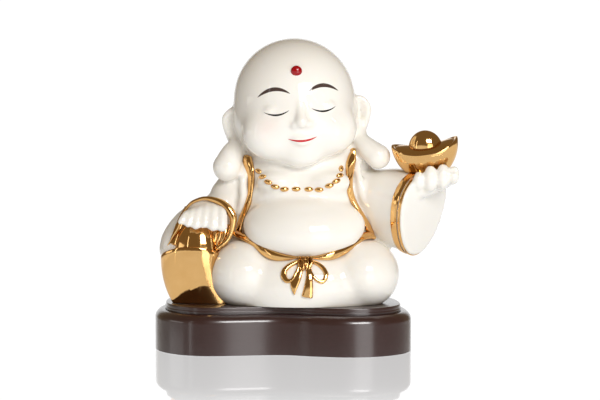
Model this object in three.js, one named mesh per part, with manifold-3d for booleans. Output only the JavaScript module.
// A seated budai cast in porcelain with gilded trim, on a dark wooden plinth.
// Millimetres, +Z up. The origin is the middle of the plinth's underside, and the figure faces -Y.
// "Left" and "right" in comments are the viewer's, seen from the front.

import * as THREE from "three";
import { mergeVertices } from "three/addons/utils/BufferGeometryUtils.js";
import Module from "manifold-3d";

const wasm = await Module();
wasm.setup();

// Driving sizes
const FIGURE_HEIGHT = 226; // seat to crown
const PLINTH_HEIGHT = 40;
const PLINTH_MARGIN = 10.5; // plinth beyond the figure's footprint, at each side
const PLATE_THICKNESS = 4.6;
const PLATE_INSET = 8.4; // from the plinth's wall to the plate's edge
const PLATE_EDGE_RADIUS = 0.8;
const NECK_HEIGHT = 1.2; // the groove under the plate
const NECK_DEPTH = 1.2; // how far the groove cuts in under the plate's edge
const SHOULDER_RADIUS = 7.6; // the block's rounded top edge
const SEAT_GAP = 0.3; // the figure rests loose on the plate
const HEM_WIDTH = 5.2;
const HEM_RELIEF = 1.5; // how far the gilded hems stand proud
const SASH_WIDTH = 7.4;
const CUFF_WIDTH = 8.5;
const CUFF_RELIEF = 1.1;
const RIBBON_WIDTH = 3.6;
const RIBBON_RELIEF = 1.9;
const BEAD_LENGTH = 6.2;
const BEAD_WIDTH = 3.8;
const BEAD_RELIEF = 1.7;
const MARK_DIAMETER = 9.4; // the red mark on the brow
const MARK_RELIEF = 2.2;

// The figure's own shape is in hundredths of its height
const SHARE = FIGURE_HEIGHT / 100;
const FOOTPRINT = { left: 52, right: 36, front: 26.5, back: 26.5 };
const BEAD_COUNT = 12;

const PLINTH_LENGTH = (FOOTPRINT.left + FOOTPRINT.right) * SHARE + 2 * PLINTH_MARGIN;
const PLINTH_DEPTH = (FOOTPRINT.front + FOOTPRINT.back) * SHARE + PLINTH_MARGIN;
const FIGURE_X = ((FOOTPRINT.left - FOOTPRINT.right) / 2) * SHARE;
const FIGURE_Y = ((FOOTPRINT.front - FOOTPRINT.back) / 2) * SHARE;

// Facets for small forms
const SMALL = { around: 8, along: 6 };
const FINGER = { sides: 6, steps: 3, caps: 2 };

// The ingots' hull: how far its sides round out between base and rim, and how blunt its ends are
const SIDE_STEPS = 4;
const SIDE_ROUNDING = 0.6;
const BLUNT_ENDS = 0.82;

const at = (x, y, z) => new THREE.Vector3(x, y, z).multiplyScalar(SHARE);
const turned = ([x, y, z]) =>
  new THREE.Euler(...[x, y, z].map(THREE.MathUtils.degToRad), "XYZ");

// A closed three.js geometry as a solid
function solid(geometry) {
  const bare = geometry.clone();
  bare.deleteAttribute("normal");
  bare.deleteAttribute("uv");
  const merged = mergeVertices(bare, 1e-4);
  const faces = [];
  const corners = merged.index.array;
  for (let i = 0; i < corners.length; i += 3) {
    const [a, b, c] = corners.subarray(i, i + 3);
    if (a !== b && b !== c && c !== a) faces.push(a, b, c);
  }
  const vertProperties = merged.getAttribute("position").array;
  const mesh = new wasm.Mesh({ numProp: 3, vertProperties, triVerts: new Uint32Array(faces) });
  return new wasm.Manifold(mesh);
}

function geometryOf(made) {
  const { vertProperties, triVerts } = made.getMesh();
  const geometry = new THREE.BufferGeometry();
  geometry.setAttribute("position", new THREE.BufferAttribute(vertProperties, 3));
  geometry.setIndex(new THREE.BufferAttribute(triVerts, 1));
  geometry.computeVertexNormals();
  return geometry;
}

const joined = (solids) => solids.reduce((whole, piece) => whole.add(piece));

// Masses that meet may close a pocket between them: the cast is solid there
const outerSkin = (made) => made.decompose().sort((a, b) => b.volume() - a.volume())[0];

// A rounded mass, its poles up and down: centre and radii in shares, turn in degrees
function egg(centre, radii, { turn = [0, 0, 0], around = 16, along = 10 } = {}) {
  return new THREE.SphereGeometry(1, around, along)
    .rotateX(Math.PI / 2)
    .scale(...radii.map((radius) => radius * SHARE))
    .applyMatrix4(new THREE.Matrix4().makeRotationFromEuler(turned(turn)))
    .translate(...at(...centre));
}

// A round-ended bar bent along points: each station is a place, its half width and half thickness, all in
// millimetres, and the way its thickness faces. blunt shortens the ends' rounding.
function bar(stations, { sides = 12, steps = 8, caps = 3, blunt = 1 } = {}) {
  const line = new THREE.CatmullRomCurve3(stations.map((s) => s.place));
  const girth = new THREE.CatmullRomCurve3(
    stations.map((s) => new THREE.Vector3(s.wide, s.thick, 0)),
  );
  const facing = new THREE.CatmullRomCurve3(stations.map((s) => s.facing));
  const geometry = new THREE.CapsuleGeometry(1, 2, caps, sides, steps);
  const spot = geometry.getAttribute("position");
  for (let i = 0; i < spot.count; i++) {
    const along = THREE.MathUtils.clamp(spot.getY(i), -1, 1);
    const beyond = spot.getY(i) - along;
    const share = (along + 1) / 2;
    const { x: wide, y: thick } = girth.getPoint(share);
    const ahead = line.getTangent(share);
    const side = new THREE.Vector3().crossVectors(ahead, facing.getPoint(share)).normalize();
    const lift = new THREE.Vector3().crossVectors(side, ahead);
    const place = line
      .getPoint(share)
      .addScaledVector(ahead, beyond * wide * blunt)
      .addScaledVector(side, spot.getX(i) * wide)
      .addScaledVector(lift, spot.getZ(i) * thick);
    spot.setXYZ(i, ...place);
  }
  return geometry;
}

// A limb in shares: each row is x, y, z, half width and, where it is not round, half thickness
function limb(rows, { facing = [0, 0, 1], ...detail } = {}) {
  const stations = rows.map(([x, y, z, wide, thick = wide]) => ({
    place: at(x, y, z),
    wide: wide * SHARE,
    thick: thick * SHARE,
    facing: new THREE.Vector3(...facing),
  }));
  return bar(stations, detail);
}

// Where a line straight back from the viewer meets the body, with the surface's own direction there
function onBody(body, x, z) {
  const ray = new THREE.Raycaster(at(x, -100, z), new THREE.Vector3(0, 1, 0));
  const [hit] = ray.intersectObject(body);
  if (!hit) throw new Error(`no body behind ${x}, ${z}`);
  return { place: hit.point, facing: hit.face.normal.clone() };
}

// A raised band on the body's front, through points seen from the viewer; width shares follow the points
function band(body, points, halfWidth, relief, { steps = 10, sides = 5, widths = null } = {}) {
  const drawn = new THREE.CatmullRomCurve3(points.map(([x, z]) => new THREE.Vector3(x, 0, z)));
  const spread = new THREE.CatmullRomCurve3(
    points.map((_, i) => new THREE.Vector3(widths ? widths[i] : 1, 0, 0)),
  );
  const count = Math.round(steps / 2);
  const stations = [];
  for (let i = 0; i <= count; i++) {
    const { x, z } = drawn.getPoint(i / count);
    const wide = halfWidth * spread.getPoint(i / count).x;
    stations.push({ ...onBody(body, x, z), wide, thick: relief });
  }
  return bar(stations, { sides, steps, caps: 1 });
}

// A boat-shaped gold ingot with a domed middle, its base on z = 0, sizes in shares
function ingot({ length, width, height, rise, base, dome }, around = 16) {
  const profile = [new THREE.Vector2(0, 0)];
  for (let i = 0; i <= SIDE_STEPS; i++) {
    const share = i / SIDE_STEPS;
    const round = (share * Math.PI) / 2;
    const out = THREE.MathUtils.lerp(share, Math.sin(round), SIDE_ROUNDING);
    const up = THREE.MathUtils.lerp(share, 1 - Math.cos(round), SIDE_ROUNDING);
    profile.push(new THREE.Vector2(base + (1 - base) * out, up));
  }
  profile.push(...[[0.96, 1.05], [0.88, 1.02], [0.58, 0.84], [0, 0.8]].map((p) => new THREE.Vector2(...p)));
  const hull = new THREE.LatheGeometry(profile, around).rotateX(Math.PI / 2);
  const spot = hull.getAttribute("position");
  for (let i = 0; i < spot.count; i++) {
    const [x, y, z] = [spot.getX(i), spot.getY(i), spot.getZ(i)];
    const out = Math.hypot(x, y) || 1;
    const fuller = (v) => Math.sign(v) * Math.abs(v) ** BLUNT_ENDS * out ** (1 - BLUNT_ENDS);
    const lifted = z * height + rise * Math.abs(x) ** 2.4 * Math.max(z, 0) ** 1.5;
    spot.setXYZ(i, ...at((fuller(x) * length) / 2, (fuller(y) * width) / 2, lifted));
  }
  const middle = egg([dome.x, 0, dome.z], [dome.wide, dome.deep, dome.tall], { around: 10, along: 7 });
  return [hull, middle];
}

const placed = (geometries, centre, turn) => {
  const frame = new THREE.Matrix4().makeRotationFromEuler(turned(turn));
  frame.setPosition(at(...centre));
  return geometries.map((geometry) => geometry.applyMatrix4(frame));
};

// Lap, crossed legs under the robe, belly, chest and back
function trunk() {
  return [
    egg([-22.2, -5, 12.4], [12.7, 17, 12.9]),
    egg([22.7, -5, 12.4], [12.7, 17, 12.9]),
    egg([0, -1, 7.5], [30.5, 22.5, 17.5], { around: 22 }),
    egg([0, 4.5, 25], [29.5, 17.2, 32], { around: 20 }),
    egg([0, -1.5, 38.5], [23, 17, 15], { around: 14, along: 8 }),
    egg([-0.8, 3.4, 49.5], [25, 14.8, 11], { along: 8 }),
    egg([-0.4, -8.6, 30], [22.6, 16.2, 12.9], { around: 22 }),
    egg([-10.5, -10.5, 42.6], [8.5, 7.2, 5.2], SMALL),
    egg([10, -10.5, 42.6], [8.5, 7.2, 5.2], SMALL),
  ];
}

// The head's main mass: a ball that is longer and fuller below, where the jowls are
const SKULL = { wide: 23, deep: 24, above: 23.2, below: 28.4, jowls: 0.1 };
function skull() {
  const form = new THREE.SphereGeometry(1, 20, 13).rotateX(Math.PI / 2);
  const spot = form.getAttribute("position");
  for (let i = 0; i < spot.count; i++) {
    const z = spot.getZ(i);
    const full = 1 + SKULL.jowls * Math.sin(Math.PI * Math.max(-z, 0));
    const tall = z > 0 ? SKULL.above : SKULL.below;
    spot.setXYZ(i, ...at(spot.getX(i) * SKULL.wide * full, spot.getY(i) * SKULL.deep * full, z * tall));
  }
  return form.translate(...at(0, 0.6, 2.3));
}

// The head in its own frame: skull, full cheeks, chin, a small nose and the mark on the brow
const HEAD_CENTRE = [-2.4, 0, 74.5];
const HEAD_TURN = [3, -4.5, 5]; // degrees: chin up, leaning left, looking right
function head() {
  const mark = [MARK_DIAMETER / 2, MARK_RELIEF, MARK_DIAMETER / 2].map((radius) => radius / SHARE);
  const parts = [
    skull(),
    egg([-9.6, -16.4, -7.6], [8, 7, 6.6], SMALL),
    egg([9.6, -16.4, -7.6], [8, 7, 6.6], SMALL),
    egg([0, -17.6, -15.4], [7.4, 5.4, 4.6], SMALL),
    egg([0, -23, -5.4], [3.3, 2.8, 2.6], SMALL),
    egg([0, -22.6, 12.6], mark, SMALL),
  ];
  return placed(parts, HEAD_CENTRE, HEAD_TURN);
}

// An ear that stands out from the head, with a long heavy lobe
function ears() {
  const leftEar = [[-25.8, 2, 71, 3.6, 2.8], [-27, 2, 67.6, 3.8, 2.8], [-26.4, 1.8, 61, 2.6, 2.4]];
  const leftLobe = [[-26.2, 1.8, 62, 2.3], [-27.2, 0.6, 56.4, 3.9], [-28.7, -0.6, 51.3, 5.7]];
  const rightEar = [[21, 2, 75.2, 3.6, 2.8], [22, 2, 71.2, 3.8, 2.8], [21.8, 2, 65.2, 2.6, 2.4]];
  const rightLobe = [[21.6, 2, 66, 2.4], [23.4, 0.6, 60.6, 3.5], [28.2, -0.4, 55.8, 4.6]];
  const upright = { facing: [0, -1, 0], sides: 8, steps: 4, caps: 2 };
  return [leftEar, leftLobe, rightEar, rightLobe].map((rows) => limb(rows, upright));
}

// The robe's wide sleeves: the left one falls over the large ingot, the right one opens like a bell
const BELL_MOUTH = [42.6, -4.6, 33.8];
const BELL_LEAN = [-0.34, 0, 1];
function sleeves() {
  const falling = limb(
    [[-20, 3, 44, 8.4], [-30, 2.4, 36.6, 8.6], [-38, 1.8, 28.6, 10.6], [-43.4, 2.2, 19.6, 10.9]],
    { sides: 12, steps: 5, caps: 2, blunt: 0.3 },
  );
  const bell = limb(
    [[17, 6, 42, 9, 9.5], [28, 5, 39.6, 11.5, 12.5], [37.4, 1, 36.2, 14, 15.4], [...BELL_MOUTH, 14.6, 16.4]],
    { facing: BELL_LEAN, sides: 15, steps: 6, caps: 2, blunt: 0.1 },
  );
  return [falling, bell];
}

// Gilded cuffs: a loop round the left sleeve's mouth, and a band round the bell's edge
function cuffs() {
  const loop = [[-51.5, -5.5, 26.5], [-46.4, -8.2, 35], [-37.8, -9.5, 39.6], [-29, -10.6, 36.2],
    [-25.8, -12, 29.6], [-28.4, -12.4, 23.4]];
  const round = loop.map((place) => ({
    place: at(...place),
    wide: HEM_WIDTH / 2,
    thick: HEM_RELIEF,
    facing: new THREE.Vector3(0, -1, 0.4),
  }));
  const grow = CUFF_RELIEF / SHARE;
  const back = CUFF_WIDTH / SHARE;
  const ahead = new THREE.Vector3(...BELL_MOUTH).sub(new THREE.Vector3(37.4, 1, 36.2)).normalize();
  const start = new THREE.Vector3(...BELL_MOUTH).addScaledVector(ahead, -back);
  const edge = limb(
    [[...start, 14.4 + grow, 15.9 + grow], [...BELL_MOUTH, 14.7 + grow, 16.5 + grow]],
    { facing: BELL_LEAN, sides: 15, steps: 1, caps: 1, blunt: 0.02 },
  );
  return [bar(round, { sides: 6, steps: 12, caps: 1 }), edge];
}

// The left hand lies over the large ingot's dome like a mitten, its fingers side by side in front
function restingHand() {
  const fingers = [[-46.2, 1.9, 29.8], [-43, 2.3, 29], [-39.5, 2.5, 28.4], [-35.6, 2.5, 28.3], [-31.4, 3, 28.8]];
  const back = egg([-38.2, -9.5, 33.4], [10, 6.6, 6.6], { around: 12, along: 8 });
  return [back].concat(
    fingers.map(([x, radius, tip]) => {
      const off = Math.abs(x + 38.5);
      const rows = [
        [x - (x + 38.5) * 0.16, -12.4, 37.2 - off * 0.3, radius],
        [x, -14.4, 33.4 - off * 0.1, radius],
        [x, -14.8, tip + radius * 0.7, radius * 0.94],
      ];
      return limb(rows, FINGER);
    }),
  );
}

// The right hand comes out of the bell palm up, its fingers curled up before the small ingot
function raisedHand() {
  const fingers = [[42.7, 49, 1.9], [47.2, 51.2, 2.3], [51.8, 52, 2.1], [55.8, 51, 2.1]];
  return [
    limb([[41, -3, 38.5, 5.2], [44.6, -6.6, 43.4, 5.4]], { sides: 10, steps: 1, caps: 1 }),
    egg([47.6, -7.6, 46], [9.6, 6.6, 4.2], { turn: [0, -8, 0], around: 12, along: 6 }),
    limb([[39.8, -7, 47, 2.2], [38.4, -9, 50.4, 1.9]], FINGER),
  ].concat(
    fingers.map(([x, top, radius], i) => {
      const bend = -12.6 + Math.abs(i - 1.2) * 0.5;
      const foot = 45 + i * 0.35;
      const rows = [
        [x - 0.3, bend + 4, foot - 0.4, radius],
        [x, bend, foot + 1, radius],
        [x + 0.2, bend + 0.4, top - radius * 0.7, radius * 0.9],
      ];
      return limb(rows, FINGER);
    }),
  );
}

function ingots() {
  const small = ingot({
    length: 25, width: 15, height: 8, rise: 4.6, base: 0.5,
    dome: { x: 0.6, z: 7.4, wide: 6.3, deep: 5.6, tall: 8 },
  });
  const large = ingot({
    length: 27, width: 21.2, height: 18.4, rise: 2.2, base: 0.62,
    dome: { x: 0, z: 18, wide: 8.4, deep: 7.8, tall: 12.6 },
  });
  return [
    ...placed(small, [45.8, -7.6, 48.6], [14, -8.5, -4]),
    ...placed(large, [-42.8, -7.4, 0], [0, 0, 84]),
  ];
}

// Gilded relief that lies on the body: the robe's two hems, the sash and its bow
function trim(body) {
  const leftHem = [[-19.8, 55.6], [-19.8, 50], [-20, 44.2], [-22.4, 35.8], [-24.6, 30.2], [-25.4, 26.4]];
  const rightHem = [[17.6, 56], [16.8, 50], [16.9, 43.4], [19.2, 36.6], [22, 31.4], [25, 26.6]];
  const sash = [[-25.4, 26.2], [-20.2, 24.4], [-12.6, 19.9], [-7.2, 18.3], [0, 18.2], [6, 18.5],
    [13.2, 21.2], [20, 25.2], [25.4, 26.4]];
  const fullness = [0.5, 0.75, 1.3, 1, 0.7, 0.9, 1.35, 0.85, 0.6];
  const leftLoop = [[-1.2, 17.6], [-5.2, 16.2], [-8, 13], [-7.4, 10.4], [-5, 11.2], [-2.6, 14.2], [-0.6, 16.6]];
  const rightLoop = leftLoop.map(([x, z]) => [-x * 1.06 + 0.2, z]);
  const leftTail = [[-0.8, 16.2], [-2.8, 12], [-4.8, 6.8]];
  const rightTail = [[0.8, 16], [2.4, 11.4], [2.6, 5.4]];
  const ribbon = { steps: 8, sides: 5 };
  return [
    band(body, leftHem, HEM_WIDTH / 2, HEM_RELIEF),
    band(body, rightHem, HEM_WIDTH / 2, HEM_RELIEF),
    band(body, sash, SASH_WIDTH / 2, HEM_RELIEF, { steps: 16, widths: fullness }),
    band(body, leftLoop, RIBBON_WIDTH / 2, RIBBON_RELIEF, ribbon),
    band(body, rightLoop, RIBBON_WIDTH / 2, RIBBON_RELIEF, ribbon),
    band(body, leftTail, RIBBON_WIDTH / 2, RIBBON_RELIEF, { ...ribbon, steps: 4, widths: [0.8, 1.4, 2] }),
    band(body, rightTail, RIBBON_WIDTH / 2, RIBBON_RELIEF, { ...ribbon, steps: 4, widths: [0.8, 1.4, 2.2] }),
    band(body, [[-1.1, 17.4], [1.1, 17.4]], RIBBON_WIDTH * 0.7, RIBBON_RELIEF * 1.4, { steps: 2 }),
  ];
}

// A string of beads across the chest
function beads(body) {
  const string = new THREE.CatmullRomCurve3(
    [[-17.4, 50.6], [-14.6, 46.8], [-8.6, 43.8], [-0.4, 42.8], [7.4, 43.7], [12.8, 47], [14.2, 51.4]].map(
      ([x, z]) => new THREE.Vector3(x, 0, z),
    ),
  );
  const made = [];
  for (let i = 0; i < BEAD_COUNT; i++) {
    const share = (i + 0.3) / (BEAD_COUNT - 0.4);
    const here = string.getPointAt(share);
    const ahead = string.getTangentAt(share);
    const { place } = onBody(body, here.x, here.z);
    const lean = Math.atan2(-ahead.z, ahead.x);
    made.push(
      new THREE.SphereGeometry(1, 6, 3)
        .scale(BEAD_LENGTH / 2, BEAD_RELIEF, BEAD_WIDTH / 2)
        .rotateY(lean)
        .translate(...place),
    );
  }
  return made;
}

// The gilded edge of the collar, round the back of the neck
function collar() {
  const rows = [[-19.8, -3.4, 55.6], [-20, 7, 55.8], [-11, 14.2, 54.6], [0, 16.2, 54.4], [11, 14.2, 54.8],
    [18.4, 7, 56], [17.6, -3, 56]];
  const stations = rows.map((place) => ({
    place: at(...place),
    wide: HEM_WIDTH / 2,
    thick: HEM_WIDTH / 2,
    facing: new THREE.Vector3(0, 0, 1),
  }));
  return bar(stations, { sides: 6, steps: 12, caps: 1 });
}

function figure() {
  const bare = joined([...trunk(), ...sleeves()].map(solid));
  const body = new THREE.Mesh(geometryOf(bare));
  const laid = [...trim(body), ...beads(body)].map(solid);
  const rest = [...head(), ...ears(), ...cuffs(), ...restingHand(), ...raisedHand(), ...ingots(), collar()];
  const whole = joined([bare, ...rest.map(solid), ...laid]);
  const reach = 4 * FIGURE_HEIGHT;
  const floor = new THREE.BoxGeometry(reach, reach, reach).translate(0, 0, -reach / 2);
  return geometryOf(outerSkin(whole.subtract(solid(floor))));
}

// The plinth's outline seen from above, like a bean, in shares of its half length and half depth
function plinthOutline() {
  const bean = [[-1, 0.22], [-0.9, -0.46], [-0.63, -0.77], [-0.14, -0.76], [0.3, -0.95], [0.66, -0.99],
    [0.92, -0.66], [1, -0.1], [0.9, 0.6], [0.52, 0.95], [0, 0.88], [-0.5, 0.97], [-0.9, 0.74]];
  const loop = new THREE.CatmullRomCurve3(
    bean.map(([x, y]) => new THREE.Vector3((x * PLINTH_LENGTH) / 2, (y * PLINTH_DEPTH) / 2, 0)),
    true,
  );
  return new THREE.Shape(loop.getSpacedPoints(42).slice(0, -1).map(({ x, y }) => new THREE.Vector2(x, y)));
}

function plinth() {
  const outline = plinthOutline();
  const blockTop = PLINTH_HEIGHT - PLATE_THICKNESS - NECK_HEIGHT;
  const block = new THREE.ExtrudeGeometry(outline, {
    depth: blockTop,
    bevelThickness: SHOULDER_RADIUS,
    bevelSize: SHOULDER_RADIUS,
    bevelOffset: -SHOULDER_RADIUS,
    bevelSegments: 3,
  }).translate(0, 0, -SHOULDER_RADIUS);
  const neck = new THREE.ExtrudeGeometry(outline, {
    depth: NECK_HEIGHT + PLATE_THICKNESS / 2,
    bevelThickness: NECK_HEIGHT,
    bevelSize: 0,
    bevelOffset: -PLATE_INSET - NECK_DEPTH,
    bevelSegments: 1,
  }).translate(0, 0, blockTop);
  const plate = new THREE.ExtrudeGeometry(outline, {
    depth: PLATE_THICKNESS - 2 * PLATE_EDGE_RADIUS,
    bevelThickness: PLATE_EDGE_RADIUS,
    bevelSize: PLATE_EDGE_RADIUS,
    bevelOffset: -PLATE_INSET - PLATE_EDGE_RADIUS,
    bevelSegments: 2,
  }).translate(0, 0, PLINTH_HEIGHT - PLATE_THICKNESS + PLATE_EDGE_RADIUS);
  const reach = 4 * PLINTH_LENGTH;
  const floor = new THREE.BoxGeometry(reach, reach, reach).translate(0, 0, -reach / 2);
  return geometryOf(joined([block, neck, plate].map(solid)).subtract(solid(floor)));
}

const porcelain = new THREE.MeshStandardMaterial({ color: 0xf1ede4, roughness: 0.12, metalness: 0 });
const darkWood = new THREE.MeshStandardMaterial({ color: 0x3a2724, roughness: 0.35, metalness: 0 });

const budai = new THREE.Group();
const figureMesh = new THREE.Mesh(figure(), porcelain);
figureMesh.name = "figure";
figureMesh.position.set(FIGURE_X, FIGURE_Y, PLINTH_HEIGHT + SEAT_GAP);
const plinthMesh = new THREE.Mesh(plinth(), darkWood);
plinthMesh.name = "plinth";
budai.add(figureMesh, plinthMesh);

export default budai;
